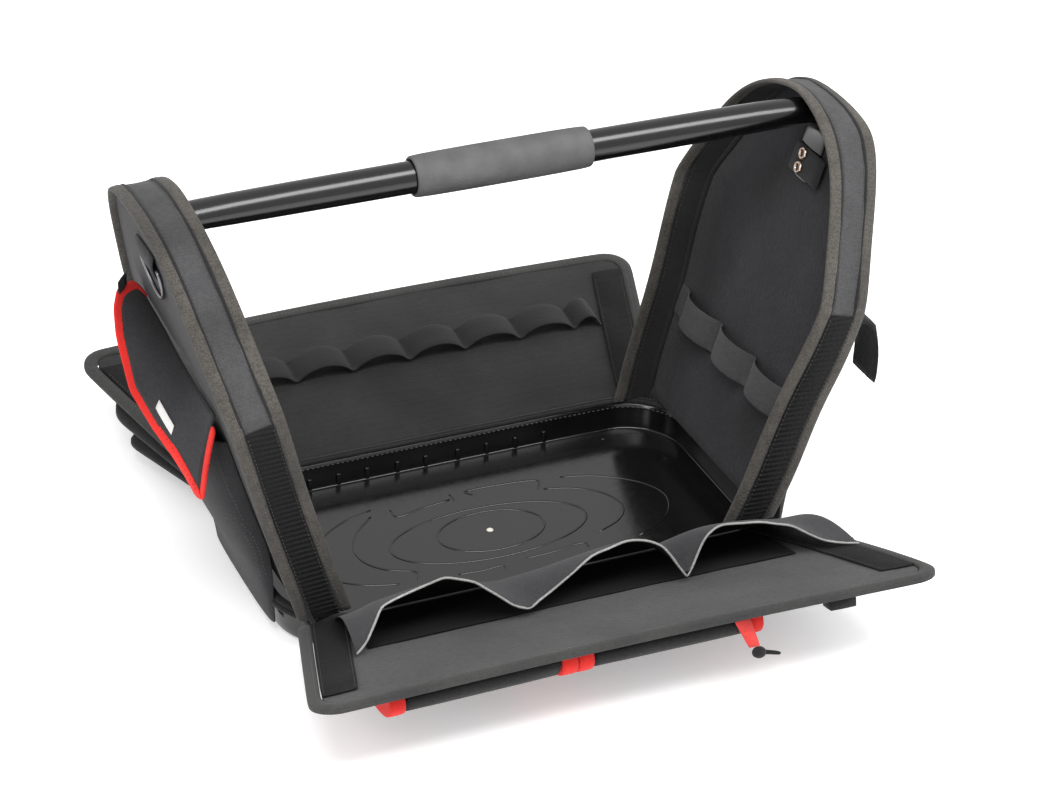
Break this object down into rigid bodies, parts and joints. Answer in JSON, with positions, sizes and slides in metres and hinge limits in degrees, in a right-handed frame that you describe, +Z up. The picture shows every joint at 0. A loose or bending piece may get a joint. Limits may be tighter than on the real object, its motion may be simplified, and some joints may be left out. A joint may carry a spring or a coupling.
{
  "type": "open top tool tote",
  "caption": "Open tool tote with a moulded tray, two padded end panels joined by a tubular carry handle, padded flaps lying open front and back, and outer pouches.",
  "frame": {"origin": "centre of the tray's flat underside", "axes": "+X to the right along the tote and its handle, +Y to the back flap, +Z up"},
  "size_m": [0.6773, 0.6936, 0.4106],
  "materials": {
    "tray": "glossy moulded plastic",
    "tube": "satin black tube",
    "foam": "matte foam",
    "rim_padding": "padded woven cloth",
    "binding_tape": "ribbed tape",
    "fastener_strip": "hook and loop strip",
    "rivet": "domed rivet",
    "ring_steel": "bent wire",
    "red_tape": "folded tape",
    "coral_ribbon": "ribbon",
    "white_tag": "plain tag",
    "black_webbing": "woven webbing",
    "grey_cloth": "textured woven cloth"
  },
  "bodies": {
    "root": {"base_tray": "tray", "tray_hem": "black_webbing", "right_end_board": "grey_cloth", "right_rim": "rim_padding", "right_inner_binding": "binding_tape", "right_outer_binding": "binding_tape", "right_back_hook_strip": "fastener_strip", "right_front_hook_strip": "fastener_strip", "left_end_board": "grey_cloth", "left_rim": "rim_padding", "left_inner_binding": "binding_tape", "left_outer_binding": "binding_tape", "left_back_hook_strip": "fastener_strip", "left_front_hook_strip": "fastener_strip", "handle_tube": "tube", "foam_grip": "foam", "right_handle_patch": "black_webbing", "right_ring_strap": "grey_cloth", "right_wire_ring": "ring_steel", "right_rivet_1": "rivet", "right_rivet_2": "rivet", "left_handle_patch": "black_webbing", "left_ring_strap": "grey_cloth", "left_wire_ring": "ring_steel", "left_rivet_1": "rivet", "left_rivet_2": "rivet", "front_flap": "grey_cloth", "front_flap_binding": "binding_tape", "front_flap_right_loop_strip": "fastener_strip", "front_flap_left_loop_strip": "fastener_strip", "back_flap": "grey_cloth", "back_flap_binding": "binding_tape", "back_flap_right_loop_strip": "fastener_strip", "back_flap_left_loop_strip": "fastener_strip", "front_pocket_sheet": "grey_cloth", "under_pouch_left": "black_webbing", "under_pouch_left_trim_1": "red_tape", "under_pouch_left_trim_2": "red_tape", "under_pouch_right": "black_webbing", "under_pouch_right_trim_1": "red_tape", "under_pouch_right_trim_2": "red_tape", "pull_tab": "coral_ribbon", "pull_knot": "black_webbing", "under_webbing_end": "black_webbing", "back_flap_elastic": "grey_cloth", "back_bellows_upper": "black_webbing", "back_bellows_lower": "black_webbing", "right_board_elastic": "binding_tape", "left_pouch": "grey_cloth", "right_pouch": "grey_cloth", "left_pouch_lid": "grey_cloth", "left_pouch_lid_trim": "red_tape", "left_pouch_tag": "white_tag", "left_pouch_tab": "black_webbing", "right_pouch_strap": "black_webbing"}
  },
  "joints": []
}
